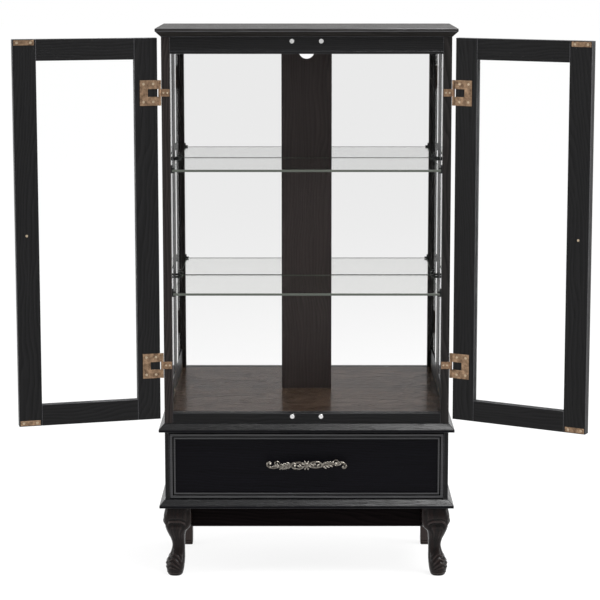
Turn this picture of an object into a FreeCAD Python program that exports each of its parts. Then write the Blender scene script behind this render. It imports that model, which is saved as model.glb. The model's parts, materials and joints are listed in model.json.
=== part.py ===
"""Glass display cabinet: two glazed doors, two glass shelves, a mirrored back and one drawer.

Millimetres, +Z up, the front faces -Y. The origin is on the floor under the middle of the case.
The doors stand open at rest, each turned about its hinge axis by its own rest angle.
"""
import FreeCAD, Part
import math
import os
import re
import Sketcher

DIMENSIONS = {
    # case
    "case_width": 615,
    "case_depth": 264,
    "board_thick": 18,
    "board_overhang": 12.5,
    "board_bevel": 12,
    "leg_height": 155,
    "lower_height": 151,
    "upper_height": 834,
    "back_thick": 4,
    # face frame
    "post_width": 18,
    "post_depth": 18,
    "header_height": 36,
    "sill_height": 22.5,
    "line_height": 6,
    "line_width": 2,
    "line_depth": 1.2,
    # side frames and their panes
    "side_thick": 9.5,
    "side_stile": 44,
    "side_top_rail": 42,
    "side_bottom_rail": 64.5,
    "pane_thick": 4,
    "pane_inset": 4.5,
    "slot_depth": 6,
    # mirrored back
    "mirror_thick": 4,
    "strip_width": 113,
    "strip_thick": 6,
    "cable_hole_radius": 17.5,
    "cable_hole_height": 1133,
    # shelves and their clips
    "shelf_thick": 5,
    "shelf_half_width": 286.5,
    "shelf_inset": 1,
    "upper_shelf_top": 894,
    "lower_shelf_top": 627,
    "clip_width": 6,
    "clip_wall": 3,
    "clip_jaw": 8,
    "clip_lip": 3.5,
    "clip_rise": 9,
    "clip_front": 9,
    "clip_rear": 238,
    "peg_radius": 2.5,
    "peg_depth": 7,
    # magnets, cam locks, leg bolts
    "magnet_radius": 5,
    "magnet_length": 8,
    "magnet_proud": 0.3,
    "magnet_spacing": 31,
    "upper_magnet_height": 1167,
    "lower_magnet_height": 357,
    "cam_radius": 7.5,
    "cam_depth": 7,
    "cam_height": 372,
    "cam_front": 40,
    "cam_rear": 202,
    "bolt_radius": 4,
    "bolt_in_leg": 30,
    "bolt_in_board": 16,
    # legs and apron
    "leg_centre_x": 283.2,
    "leg_centre_y": -112,
    "rear_leg_width": 43,
    "rear_leg_depth": 26,
    "rear_leg_inset": 2.5,
    "apron_half_width": 253,
    "apron_height": 47,
    "apron_thick": 18,
    "apron_setback": 14,
    # doors
    "door_width": 305,
    "door_height": 821.5,
    "door_thick": 18,
    "door_bottom": 352.5,
    "door_gap": 1.5,
    "door_stile": 49,
    "door_rail": 45,
    "left_open_angle": 165.3,
    "right_open_angle": 151.3,
    # hinges
    "hinge_axis_x": 311,
    "hinge_axis_y": -133,
    "face_gap": 1.6,
    "leaf_thick": 1.2,
    "leaf_width": 38,
    "leaf_height": 54,
    "notch_width": 21,
    "notch_height": 16.6,
    "tongue_reach": 21,
    "tongue_height": 15.8,
    "knuckle_radius": 3.1,
    "pin_radius": 1.5,
    "pin_play": 0.05,
    "upper_hinge_height": 1058,
    "lower_hinge_height": 470,
    "leaf_screw_near": 9.4,
    "leaf_screw_far": 30,
    "leaf_screw_rise": 19,
    "tongue_screw_near": 8,
    "tongue_screw_far": 16,
    "screw_head_radius": 2.6,
    "screw_head_depth": 0.7,
    "screw_radius": 1.4,
    "screw_length": 12,
    "tongue_screw_radius": 2,
    # strike plates
    "strike_length": 42.6,
    "strike_height": 10.8,
    "strike_thick": 0.8,
    "strike_inset": 2.4,
    "strike_margin": 1.6,
    "strike_screw_inset": 7,
    # knobs
    "knob_inset": 23,
    "knob_height": 762,
    "knob_length": 26.6,
    "knob_tap": 8,
    # drawer
    "front_width": 594,
    "front_height": 143.6,
    "front_panel_thick": 14,
    "front_raise": 2,
    "bead_width": 6,
    "bead_height": 4,
    "inner_bead_start": 8,
    "inner_bead_width": 4.5,
    "inner_bead_height": 3,
    "bead_round": 1.4,
    "box_side_thick": 13,
    "box_height": 120,
    "box_length": 214,
    "box_raise": 8,
    "box_half_width": 297,
    "box_back_thick": 12,
    "box_bottom_thick": 5,
    "box_bottom_raise": 6,
    "runner_thick": 7,
    "runner_height": 16,
    "runner_length": 220,
    "runner_setback": 24,
    "runner_raise": 62,
    "runner_play": 0.4,
    # drawer pull
    "pull_height": 253,
    "pull_spacing": 128,
    "pull_standoff": 20,
    "pull_half_length": 86,
    "pull_post_radius": 4,
    "pull_screw_radius": 2,
}

# cabriole leg: name, height above the floor, half the width, shift outwards, corner radius
LEG_SECTIONS = (
    ("knee_top", 155, 25.8, -1.8, 8),
    ("knee_crown", 135, 28.8, 0, 10),
    ("knee_low", 113, 26.8, 0.8, 11),
    ("calf_top", 98, 20.8, 0.8, 11),
    ("calf", 85, 16.4, -0.6, 10),
    ("ankle", 68, 13.9, -2.7, 9),
    ("instep", 50, 15.6, -1, 11),
    ("foot", 31, 20.4, 3.9, 14),
    ("foot_low", 13, 18.4, 4.7, 13),
    ("sole", 0, 14, 4.6, 9),
)
# half of the drawer pull: name, distance from the pull's middle, radius
PULL_SECTIONS = (
    ("pull_flower", 5, 10),
    ("pull_collar", 14, 9),
    ("pull_arm", 24, 4.2),
    ("pull_neck", 54, 3.6),
    ("pull_boss", 68, 6),
    ("pull_leaf", 78, 5.5),
    ("pull_curl", 85, 4),
)
# door knob: name, distance from the door's face, radius
KNOB_SECTIONS = (
    ("knob_rim", 1.5, 9),
    ("knob_step", 3, 7),
    ("knob_flare", 5, 4.5),
    ("knob_neck", 9, 4),
    ("knob_swell", 11.5, 6),
    ("knob_shoulder", 14, 10),
    ("knob_widest", 17.5, 12.2),
    ("knob_cheek", 21, 12),
    ("knob_crown", 24.5, 9),
    ("knob_button", 26.2, 4.5),
)
for section, height, half, shift, corner in LEG_SECTIONS:
    DIMENSIONS[f"{section}_height"] = height
    DIMENSIONS[f"{section}_half"] = half
    DIMENSIONS[f"{section}_shift"] = shift
    DIMENSIONS[f"{section}_corner"] = corner
for section, reach, radius in PULL_SECTIONS + KNOB_SECTIONS:
    DIMENSIONS[f"{section}_reach"] = reach
    DIMENSIONS[f"{section}_radius"] = radius

# levels and faces that many pieces share, written in terms of the sheet
BASE_TOP = "(leg_height + board_thick)"
WAIST_UNDER = f"({BASE_TOP} + lower_height)"
WAIST_TOP = f"({WAIST_UNDER} + board_thick)"
FLOOR_TOP = f"({WAIST_TOP} + sill_height)"
TOP_UNDER = f"({WAIST_TOP} + upper_height)"
FRONT = "(-case_depth / 2)"
BACK = "(case_depth / 2)"
PANEL_FRONT = f"({BACK} - back_thick)"
POST_BACK = f"({FRONT} + post_depth)"
STILE_FRONT = f"({PANEL_FRONT} - side_stile)"
HALF_CASE = "(case_width / 2)"
POST_INNER = f"({HALF_CASE} - post_width)"
SIDE_INNER = f"({HALF_CASE} - side_thick)"
DOOR_INNER = f"({FRONT} - face_gap)"
DOOR_OUTER = f"({DOOR_INNER} - door_thick)"
SHELF_TOPS = ("upper_shelf_top", "lower_shelf_top")
HINGE_HEIGHTS = ("upper_hinge_height", "lower_hinge_height")
SIDES = ((-1, "left"), (1, "right"))
ORIGIN = ("0", "0", "0")
TOLERANCE = 0.01

doc = FreeCAD.newDocument("display_cabinet")
sheet = doc.addObject("Spreadsheet::Sheet", "sheet")
for row, (alias, value) in enumerate(DIMENSIONS.items(), start=1):
    sheet.set(f"A{row}", alias)
    sheet.set(f"B{row}", str(value))
    sheet.setAlias(f"B{row}", alias)
doc.recompute()

nodes = []


def formula(text):
    """Point each alias in a written formula at its cell."""
    words = re.compile(r"[a-z]+(?:_[a-z]+)*")
    return words.sub(lambda m: f"sheet.{m[0]}" if m[0] in DIMENSIONS else m[0], text)


def bind(target, path, text):
    target.setExpression(path, formula(text))


def place(piece, corner, door=0):
    """Bind the placement; door -1 or 1 also turns the piece about that door's hinge axis."""
    x, y, z = corner
    turn = "rotation(vector(0; 0; 1); 0)"
    centre = "vector(0; 0; 0)"
    if door:
        word = dict(SIDES)[door]
        turn = f"rotation(vector(0; 0; 1); {door} * {word}_open_angle)"
        centre = f"vector({door} * hinge_axis_x - ({x}); hinge_axis_y - ({y}); 0)"
    bind(piece, "Placement", f"placement(vector({x}; {y}; {z}); {turn}; {centre})")


def node(piece, name):
    piece.Label = name
    nodes.append(piece)
    return piece


def box(name, size, corner, door=0):
    piece = doc.addObject("Part::Box", name)
    for side, text in zip(("Length", "Width", "Height"), size):
        bind(piece, side, text)
    place(piece, corner, door)
    return node(piece, name)


def new_body(name, corner=ORIGIN, door=0):
    body = doc.addObject("PartDesign::Body", name)
    body.AllowCompound = True
    place(body, corner, door)
    return node(body, name)


def sketch_on(body, role, offset="0"):
    """Attach a sketch to one of the body's origin planes, moved along the plane's normal."""
    sketch = body.newObject("Sketcher::SketchObject", f"{body.Name}_sketch")
    plane = next(f for f in body.Origin.OriginFeatures if f.Role == role)
    sketch.AttachmentSupport = (plane, [""])
    sketch.MapMode = "FlatFace"
    bind(sketch, "AttachmentOffset.Base.z", offset)
    return sketch


def fix_point(sketch, item, point, u, v):
    """Hold one point of the sketch at (u, v) from the sketch's origin."""
    for kind, axis, text in (("DistanceX", -2, u), ("DistanceY", -1, v)):
        if text == "0":
            sketch.addConstraint(Sketcher.Constraint("PointOnObject", item, point, axis))
        else:
            number = sketch.addConstraint(Sketcher.Constraint(kind, -1, 1, item, point, 1.0))
            bind(sketch, f"Constraints[{number}]", text)


def polygon(sketch, points):
    """Closed outline; it starts as a rough ring and the bound distances move its corners."""
    count = len(points)
    turns = [2 * math.pi * index / count for index in range(count)]
    ring = [FreeCAD.Vector(math.cos(turn), math.sin(turn), 0) for turn in turns]
    lines = []
    for index in range(count):
        lines.append(sketch.addGeometry(Part.LineSegment(ring[index], ring[(index + 1) % count])))
    for index in range(count):
        following = lines[(index + 1) % count]
        sketch.addConstraint(Sketcher.Constraint("Coincident", lines[index], 2, following, 1))
    for line, (u, v) in zip(lines, points):
        fix_point(sketch, line, 1, u, v)


def rectangle(sketch, u0, v0, u1, v1):
    polygon(sketch, [(u0, v0), (u1, v0), (u1, v1), (u0, v1)])


def circle(sketch, u, v, radius):
    item = sketch.addGeometry(Part.Circle(FreeCAD.Vector(), FreeCAD.Vector(0, 0, 1), 1))
    fix_point(sketch, item, 3, u, v)
    number = sketch.addConstraint(Sketcher.Constraint("Radius", item, 1.0))
    bind(sketch, f"Constraints[{number}]", radius)


def pad(body, sketch, length, backwards=False):
    feature = body.newObject("PartDesign::Pad", f"{body.Name}_pad")
    feature.Profile = sketch
    feature.Reversed = backwards
    bind(feature, "Length", length)
    sketch.Visibility = False
    return feature


def pocket(body, sketch, depth, backwards=False):
    """Cut and check that the cut took something away."""
    doc.recompute()
    before = body.Shape.Volume
    feature = body.newObject("PartDesign::Pocket", f"{body.Name}_pocket")
    feature.Profile = sketch
    feature.Reversed = backwards
    bind(feature, "Length", depth)
    doc.recompute()
    if body.Shape.Volume > before - TOLERANCE:
        raise RuntimeError(f"{body.Label}: a pocket cuts nothing")
    return feature


def edges_where(feature, test):
    doc.recompute()
    found = []
    for number, edge in enumerate(feature.Shape.Edges, start=1):
        if test(edge.BoundBox):
            found.append(f"Edge{number}")
    return found


def slotted(width, height, side, start, end, depth):
    """Rectangle from the origin with a slot cut into one of its sides."""
    corners = {
        "bottom": ("0", "0"),
        "right": (width, "0"),
        "top": (width, height),
        "left": ("0", height),
    }
    inner_u = f"{width} - ({depth})"
    inner_v = f"{height} - ({depth})"
    slots = {
        "bottom": [(start, "0"), (start, depth), (end, depth), (end, "0")],
        "right": [(width, start), (inner_u, start), (inner_u, end), (width, end)],
        "top": [(end, height), (end, inner_v), (start, inner_v), (start, height)],
        "left": [("0", end), (depth, end), (depth, start), ("0", start)],
    }
    points = []
    for name, corner in corners.items():
        points.append(corner)
        if name == side:
            points += slots[side]
    return points


# ---------------------------------------------------------------- boards

def bevelled_board(name, under, depth, bevel_low):
    """Board with a 45 degree bevel along its front and side edges, above or below."""
    width = "case_width + 2 * board_overhang"
    body = new_body(name, (f"-({width}) / 2", f"{FRONT} - board_overhang", under))
    sketch = sketch_on(body, "XY_Plane")
    rectangle(sketch, "0", "0", width, depth)
    board = pad(body, sketch, "board_thick")
    doc.recompute()
    limits = board.Shape.BoundBox
    level = limits.ZMin if bevel_low else limits.ZMax

    def bevelled(edge):
        middle = edge.Center
        at_level = edge.ZLength < TOLERANCE and abs(middle.z - level) < TOLERANCE
        return at_level and abs(middle.y - limits.YMax) > TOLERANCE

    chamfer = body.newObject("PartDesign::Chamfer", f"{name}_bevel")
    chamfer.Base = (board, edges_where(board, bevelled))
    bind(chamfer, "Size", "board_bevel")
    doc.recompute()
    return body


def boards():
    full_depth = "case_depth + board_overhang"
    bevelled_board("top_board", TOP_UNDER, full_depth, True)
    bevelled_board("waist_board", WAIST_UNDER, f"{full_depth} - back_thick", False)
    base = bevelled_board("base_board", "leg_height", full_depth, False)
    holes = sketch_on(base, "XY_Plane")
    shift_x = f"{HALF_CASE} + board_overhang"
    shift_y = "case_depth / 2 + board_overhang"
    for x, y in leg_bolt_places():
        circle(holes, f"{x} + {shift_x}", f"{y} + {shift_y}", "bolt_radius")
    pocket(base, holes, "bolt_in_board", backwards=True)
    box("display_floor", (f"2 * {SIDE_INNER}", f"{PANEL_FRONT} - {POST_BACK}", "board_thick"),
        (f"-{SIDE_INNER}", POST_BACK, f"{FLOOR_TOP} - board_thick"))


# ---------------------------------------------------------------- face frame

def face_rail(name, under, height, magnet_height, lined):
    body = new_body(name, (f"-{POST_INNER}", FRONT, under))
    profile = sketch_on(body, "YZ_Plane")
    if lined:
        line_top = "line_height + line_width"
        outline = slotted("post_depth", height, "left", "line_height", line_top, "line_depth")
        polygon(profile, outline)
    else:
        rectangle(profile, "0", "0", "post_depth", height)
    pad(body, profile, f"2 * {POST_INNER}")
    holes = sketch_on(body, "XZ_Plane")
    for side, _ in SIDES:
        across = f"{POST_INNER} + {side} * magnet_spacing"
        circle(holes, across, f"{magnet_height} - {under}", "magnet_radius")
    pocket(body, holes, "magnet_length")


def pane_slot(side, width):
    """Where the side pane's slot starts and ends across a member that ends at the case's side."""
    far = "pane_inset + pane_thick"
    if side > 0:
        return f"{width} - ({far})", f"{width} - pane_inset"
    return "pane_inset", far


def front_post(side, word):
    left_corner = f"{side} * ({HALF_CASE} - post_width / 2) - post_width / 2"
    body = new_body(f"front_post_{word}", (left_corner, FRONT, WAIST_TOP))
    profile = sketch_on(body, "XY_Plane")
    start, end = pane_slot(side, "post_width")
    polygon(profile, slotted("post_width", "post_depth", "top", start, end, "slot_depth"))
    pad(body, profile, "upper_height")
    pegs = sketch_on(body, "YZ_Plane", "0" if side > 0 else "post_width")
    for top in SHELF_TOPS:
        circle(pegs, "clip_front", f"{top} - shelf_thick / 2 - {WAIST_TOP}", "peg_radius")
    pocket(body, pegs, "peg_depth", backwards=side > 0)
    screws = sketch_on(body, "XZ_Plane")
    for height in HINGE_HEIGHTS:
        for reach in ("tongue_screw_near", "tongue_screw_far"):
            across = f"{side} * (hinge_axis_x - {reach}) - ({left_corner})"
            circle(screws, across, f"{height} - {WAIST_TOP}", "screw_radius")
    pocket(body, screws, "screw_length")


def face_frame():
    header_under = f"({TOP_UNDER} - header_height)"
    face_rail("header_rail", header_under, "header_height", "upper_magnet_height", True)
    face_rail("face_bottom_rail", WAIST_TOP, "sill_height", "lower_magnet_height", False)
    for side, word in SIDES:
        front_post(side, word)
    magnets = new_body("catch_magnets", ("0", f"{FRONT} - magnet_proud", "0"))
    sketch = sketch_on(magnets, "XZ_Plane")
    for side, _ in SIDES:
        for height in ("upper_magnet_height", "lower_magnet_height"):
            circle(sketch, f"{side} * magnet_spacing", height, "magnet_radius")
    pad(magnets, sketch, "magnet_length + magnet_proud", backwards=True)


# ---------------------------------------------------------------- side frames

def rear_stile(side, word):
    left_corner = f"{side} * ({HALF_CASE} - side_thick / 2) - side_thick / 2"
    body = new_body(f"rear_stile_{word}", (left_corner, STILE_FRONT, WAIST_TOP))
    profile = sketch_on(body, "XY_Plane")
    start, end = pane_slot(side, "side_thick")
    polygon(profile, slotted("side_thick", "side_stile", "bottom", start, end, "slot_depth"))
    pad(body, profile, "upper_height")
    pegs = sketch_on(body, "YZ_Plane", "0" if side > 0 else "side_thick")
    along = f"{FRONT} + clip_rear - {STILE_FRONT}"
    for top in SHELF_TOPS:
        circle(pegs, along, f"{top} - shelf_thick / 2 - {WAIST_TOP}", "peg_radius")
    pocket(body, pegs, "peg_depth", backwards=side > 0)


def side_rails(name, under, height, slot_side):
    """The left and the right rail of one level, drawn together as two solids."""
    body = new_body(name, ("0", POST_BACK, under))
    for side, _ in SIDES:
        shift = f"{side} * ({HALF_CASE} - side_thick / 2) - side_thick / 2"
        start, end = pane_slot(side, "side_thick")
        outline = slotted("side_thick", height, slot_side, start, end, "slot_depth")
        profile = sketch_on(body, "XZ_Plane")
        polygon(profile, [(f"{shift} + {u}", v) for u, v in outline])
        pad(body, profile, f"{STILE_FRONT} - {POST_BACK}", backwards=True)
    return body


def side_frames():
    for side, word in SIDES:
        rear_stile(side, word)
        centre = f"{side} * ({HALF_CASE} - pane_inset - pane_thick / 2)"
        size = ("pane_thick", f"{STILE_FRONT} - {POST_BACK} + 2 * slot_depth",
                "upper_height - side_top_rail - side_bottom_rail + 2 * slot_depth")
        corner = (f"{centre} - pane_thick / 2", f"{POST_BACK} - slot_depth",
                  f"{WAIST_TOP} + side_bottom_rail - slot_depth")
        box(f"side_pane_{word}", size, corner)
    side_rails("side_top_rails", f"({TOP_UNDER} - side_top_rail)", "side_top_rail", "bottom")
    lower = side_rails("side_bottom_rails", WAIST_TOP, "side_bottom_rail", "top")
    locks = new_body("cam_locks")
    for side, _ in SIDES:
        holes = sketch_on(lower, "YZ_Plane", f"{side} * {SIDE_INNER}")
        discs = sketch_on(locks, "YZ_Plane", f"{side} * {SIDE_INNER}")
        for along in ("cam_front", "cam_rear"):
            circle(holes, f"{along} - post_depth", f"cam_height - {WAIST_TOP}", "cam_radius")
            circle(discs, f"{FRONT} + {along}", "cam_height", "cam_radius")
        pocket(lower, holes, "cam_depth", backwards=side > 0)
        pad(locks, discs, "cam_depth", backwards=side < 0)


# ---------------------------------------------------------------- back and shelves

def holed_panel(name, width, thick, corner, height):
    """Upright board or sheet with the cable hole through it."""
    body = new_body(name, corner)
    outline = sketch_on(body, "XZ_Plane")
    rectangle(outline, "0", "0", width, height)
    pad(body, outline, thick, backwards=True)
    hole = sketch_on(body, "XZ_Plane")
    circle(hole, f"({width}) / 2", f"cable_hole_height - {corner[2]}", "cable_hole_radius")
    pocket(body, hole, thick)


def back():
    panel_corner = (f"-{HALF_CASE}", PANEL_FRONT, BASE_TOP)
    holed_panel("back_panel", "case_width", "back_thick", panel_corner, f"{TOP_UNDER} - {BASE_TOP}")
    strip_corner = ("-strip_width / 2", f"{PANEL_FRONT} - strip_thick", FLOOR_TOP)
    strip_height = f"{TOP_UNDER} - {FLOOR_TOP}"
    holed_panel("back_centre_board", "strip_width", "strip_thick", strip_corner, strip_height)
    for side, word in SIDES:
        width = f"({SIDE_INNER} - strip_width / 2)"
        centre = f"{side} * ({SIDE_INNER} + strip_width / 2) / 2"
        box(f"mirror_{word}", (width, "mirror_thick", f"{TOP_UNDER} - {FLOOR_TOP}"),
            (f"{centre} - {width} / 2", f"{PANEL_FRONT} - mirror_thick", FLOOR_TOP))


def shelves():
    depth = f"{PANEL_FRONT} - strip_thick - {FRONT} - 2 * shelf_inset"
    for name, top in zip(("upper_glass_shelf", "lower_glass_shelf"), SHELF_TOPS):
        box(name, ("2 * shelf_half_width", depth, "shelf_thick"),
            ("-shelf_half_width", f"{FRONT} + shelf_inset", f"{top} - shelf_thick"))
    clips = new_body("shelf_clips")
    inner = "shelf_half_width - clip_jaw + clip_wall"
    outer = "shelf_half_width + clip_wall"
    for along in ("clip_front", "clip_rear"):
        offset = f"-({FRONT} + {along} + clip_width / 2)"
        profiles = sketch_on(clips, "XZ_Plane", offset)
        for top in SHELF_TOPS:
            bottom = f"{top} - shelf_thick"
            points = ((inner, f"{bottom} - clip_lip"), (outer, f"{bottom} - clip_lip"),
                      (outer, f"{top} + clip_rise"), ("shelf_half_width", f"{top} + clip_rise"),
                      ("shelf_half_width", f"{top} + clip_lip"), (inner, f"{top} + clip_lip"),
                      (inner, top), ("shelf_half_width", top),
                      ("shelf_half_width", bottom), (inner, bottom))
            for side, _ in SIDES:
                polygon(profiles, [(f"{side} * ({u})", v) for u, v in points])
        pad(clips, profiles, "clip_width")
    for side, _ in SIDES:
        for along, wood in (("clip_front", POST_INNER), ("clip_rear", SIDE_INNER)):
            pegs = sketch_on(clips, "YZ_Plane", f"{side} * ({outer})")
            for top in SHELF_TOPS:
                circle(pegs, f"{FRONT} + {along}", f"{top} - shelf_thick / 2", "peg_radius")
            pad(clips, pegs, f"{wood} + peg_depth - ({outer})", backwards=side < 0)


# ---------------------------------------------------------------- lower case and legs

def lower_case():
    for side, word in SIDES:
        centre = f"{side} * ({HALF_CASE} - side_thick / 2)"
        box(f"lower_side_{word}", ("side_thick", f"{PANEL_FRONT} - {FRONT}", "lower_height"),
            (f"{centre} - side_thick / 2", FRONT, BASE_TOP))
    runners_corner = ("0", f"{FRONT} + runner_setback", f"{BASE_TOP} + runner_raise")
    runners = new_body("drawer_runners", runners_corner)
    for side, _ in SIDES:
        profile = sketch_on(runners, "XZ_Plane")
        rectangle(profile, f"{side} * ({SIDE_INNER} - runner_thick)", "0", f"{side} * {SIDE_INNER}",
                  "runner_height")
        pad(runners, profile, "runner_length", backwards=True)


def leg_bolt_places():
    """Plan positions of the four leg bolts, measured from the cabinet's origin."""
    rear_x = f"({HALF_CASE} - rear_leg_inset - rear_leg_width / 2)"
    rear_y = f"({BACK} - rear_leg_depth / 2)"
    places = []
    for side, _ in SIDES:
        places.append((f"{side} * leg_centre_x", "leg_centre_y"))
        places.append((f"{side} * {rear_x}", rear_y))
    return places


def rounded_square(sketch, name, side):
    """Square with round corners; the leg's section leans outwards and forwards by its shift."""
    half = DIMENSIONS[f"{name}_half"]
    corner = DIMENSIONS[f"{name}_corner"]
    shift = DIMENSIONS[f"{name}_shift"]
    middle = FreeCAD.Vector(side * shift, -shift, 0)
    reach = half - corner
    arcs = []
    for quarter, (across, up) in enumerate(((1, 1), (-1, 1), (-1, -1), (1, -1))):
        centre = middle + FreeCAD.Vector(across * reach, up * reach, 0)
        full = Part.Circle(centre, FreeCAD.Vector(0, 0, 1), corner)
        turn = quarter * math.pi / 2
        arc = sketch.addGeometry(Part.ArcOfCircle(full, turn, turn + math.pi / 2))
        fix_point(sketch, arc, 3, f"{side} * {name}_shift + {across} * ({name}_half - {name}_corner)",
                  f"-{name}_shift + {up} * ({name}_half - {name}_corner)")
        number = sketch.addConstraint(Sketcher.Constraint("Radius", arc, corner))
        bind(sketch, f"Constraints[{number}]", f"{name}_corner")
        first, second = ("Horizontal", "Vertical")
        if quarter % 2:
            first, second = second, first
        sketch.addConstraint(Sketcher.Constraint(first, arc, 3, arc, 1))
        sketch.addConstraint(Sketcher.Constraint(second, arc, 3, arc, 2))
        arcs.append(arc)
    for index, arc in enumerate(arcs):
        following = arcs[(index + 1) % 4]
        ends = (sketch.getPoint(arc, 2), sketch.getPoint(following, 1))
        line = sketch.addGeometry(Part.LineSegment(*ends))
        sketch.addConstraint(Sketcher.Constraint("Coincident", arc, 2, line, 1))
        sketch.addConstraint(Sketcher.Constraint("Coincident", line, 2, following, 1))


def front_leg(side, word):
    body = new_body(f"front_leg_{word}", (f"{side} * leg_centre_x", "leg_centre_y", "0"))
    sections = []
    for name, *_ in LEG_SECTIONS:
        sketch = sketch_on(body, "XY_Plane", f"{name}_height")
        rounded_square(sketch, name, side)
        sections.append(sketch)
    loft = body.newObject("PartDesign::AdditiveLoft", f"leg_loft_{word}")
    loft.Profile = sections[0]
    loft.Sections = sections[1:]
    hole = sketch_on(body, "XY_Plane", "leg_height")
    circle(hole, "0", "0", "bolt_radius")
    pocket(body, hole, "bolt_in_leg")


def rear_leg(side, word):
    centre = f"{side} * ({HALF_CASE} - rear_leg_inset - rear_leg_width / 2)"
    body = new_body(f"rear_leg_{word}", (centre, f"{BACK} - rear_leg_depth / 2", "0"))
    outline = sketch_on(body, "XY_Plane")
    half = ("rear_leg_width / 2", "rear_leg_depth / 2")
    rectangle(outline, f"-{half[0]}", f"-{half[1]}", *half)
    pad(body, outline, "leg_height")
    hole = sketch_on(body, "XY_Plane", "leg_height")
    circle(hole, "0", "0", "bolt_radius")
    pocket(body, hole, "bolt_in_leg")


def legs():
    for side, word in SIDES:
        front_leg(side, word)
        rear_leg(side, word)
    box("front_apron", ("2 * apron_half_width", "apron_thick", "apron_height"),
        ("-apron_half_width", f"{FRONT} + apron_setback", "leg_height - apron_height"))
    bolts = new_body("leg_bolts", ("0", "0", "leg_height - bolt_in_leg"))
    sketch = sketch_on(bolts, "XY_Plane")
    for x, y in leg_bolt_places():
        circle(sketch, x, y, "bolt_radius")
    pad(bolts, sketch, "bolt_in_leg + bolt_in_board")


# ---------------------------------------------------------------- drawer

def drawer_front():
    """Inset front: a flat panel inside a double bead."""
    corner = ("-front_width / 2", FRONT, f"{BASE_TOP} + front_raise")
    body = new_body("drawer_front", corner)
    panel = sketch_on(body, "XZ_Plane", "-bead_height")
    rectangle(panel, "0", "0", "front_width", "front_height")
    pad(body, panel, "front_panel_thick", backwards=True)
    beads = (("0", "bead_width", "bead_height"),
             ("inner_bead_start", "inner_bead_start + inner_bead_width", "inner_bead_height"))
    last = None
    for start, end, height in beads:
        ring = sketch_on(body, "XZ_Plane", "-bead_height")
        for edge in (start, end):
            rectangle(ring, edge, edge, f"front_width - ({edge})", f"front_height - ({edge})")
        last = pad(body, ring, height)
    inner_crest = DIMENSIONS["bead_height"] - DIMENSIONS["inner_bead_height"]

    def crest(edge):
        on_crest = min(abs(edge.YMin), abs(edge.YMin - inner_crest)) < TOLERANCE
        return edge.YLength < TOLERANCE and on_crest

    fillet = body.newObject("PartDesign::Fillet", "bead_fillet")
    fillet.Base = (last, edges_where(last, crest))
    bind(fillet, "Radius", "bead_round")
    holes = sketch_on(body, "XZ_Plane")
    for side, _ in SIDES:
        circle(holes, f"front_width / 2 + {side} * pull_spacing / 2",
               f"pull_height - ({corner[2]})", "pull_screw_radius")
    pocket(body, holes, "bead_height + front_panel_thick")


def drawer_box():
    back_of_front = f"({FRONT} + bead_height + front_panel_thick)"
    under = f"({BASE_TOP} + box_raise)"
    inner = "(box_half_width - box_side_thick)"
    for side, word in SIDES:
        left_corner = f"{side} * (box_half_width - box_side_thick / 2) - box_side_thick / 2"
        body = new_body(f"drawer_side_{word}", (left_corner, back_of_front, under))
        profile = sketch_on(body, "XZ_Plane")
        start = "runner_raise - runner_play - box_raise"
        end = "runner_raise + runner_height + runner_play - box_raise"
        depth = f"runner_thick + runner_play - ({SIDE_INNER} - box_half_width)"
        slot_side = "right" if side > 0 else "left"
        polygon(profile, slotted("box_side_thick", "box_height", slot_side, start, end, depth))
        pad(body, profile, "box_length", backwards=True)
    box("drawer_back", (f"2 * {inner}", "box_back_thick", "box_height"),
        (f"-{inner}", f"{back_of_front} + box_length - box_back_thick", under))
    box("drawer_bottom", (f"2 * {inner}", "box_length - box_back_thick", "box_bottom_thick"),
        (f"-{inner}", back_of_front, f"{under} + box_bottom_raise"))


def drawer_pull():
    """Long turned bar with a swollen middle on two posts."""
    panel_face = f"({FRONT} + bead_height)"
    body = new_body("drawer_pull", ("0", f"{panel_face} - pull_standoff", "pull_height"))
    profile = sketch_on(body, "XY_Plane")
    right_half = [(f"{name}_reach", f"{name}_radius") for name, *_ in PULL_SECTIONS]
    right_half.append(("pull_half_length", "0"))
    left_half = [(f"-{reach}", radius) for reach, radius in reversed(right_half)]
    polygon(profile, left_half + right_half)
    bar = body.newObject("PartDesign::Revolution", "pull_bar")
    bar.Profile = profile
    bar.ReferenceAxis = (profile, ["H_Axis"])
    bar.Angle = 360
    posts = sketch_on(body, "XZ_Plane")
    for side, _ in SIDES:
        circle(posts, f"{side} * pull_spacing / 2", "0", "pull_post_radius")
    pad(body, posts, "pull_standoff", backwards=True)
    taps = sketch_on(body, "XZ_Plane", "-pull_standoff")
    for side, _ in SIDES:
        circle(taps, f"{side} * pull_spacing / 2", "0", "pull_screw_radius")
    pocket(body, taps, "pull_standoff / 2", backwards=True)
    back_of_front = f"({FRONT} + bead_height + front_panel_thick)"
    screws = new_body("pull_screws", ("0", back_of_front, "pull_height"))
    shanks = sketch_on(screws, "XZ_Plane")
    heads = sketch_on(screws, "XZ_Plane")
    for side, _ in SIDES:
        circle(shanks, f"{side} * pull_spacing / 2", "0", "pull_screw_radius")
        circle(heads, f"{side} * pull_spacing / 2", "0", "pull_post_radius")
    pad(screws, shanks, "front_panel_thick + pull_standoff / 2")
    pad(screws, heads, "pull_screw_radius", backwards=True)


# ---------------------------------------------------------------- doors

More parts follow.
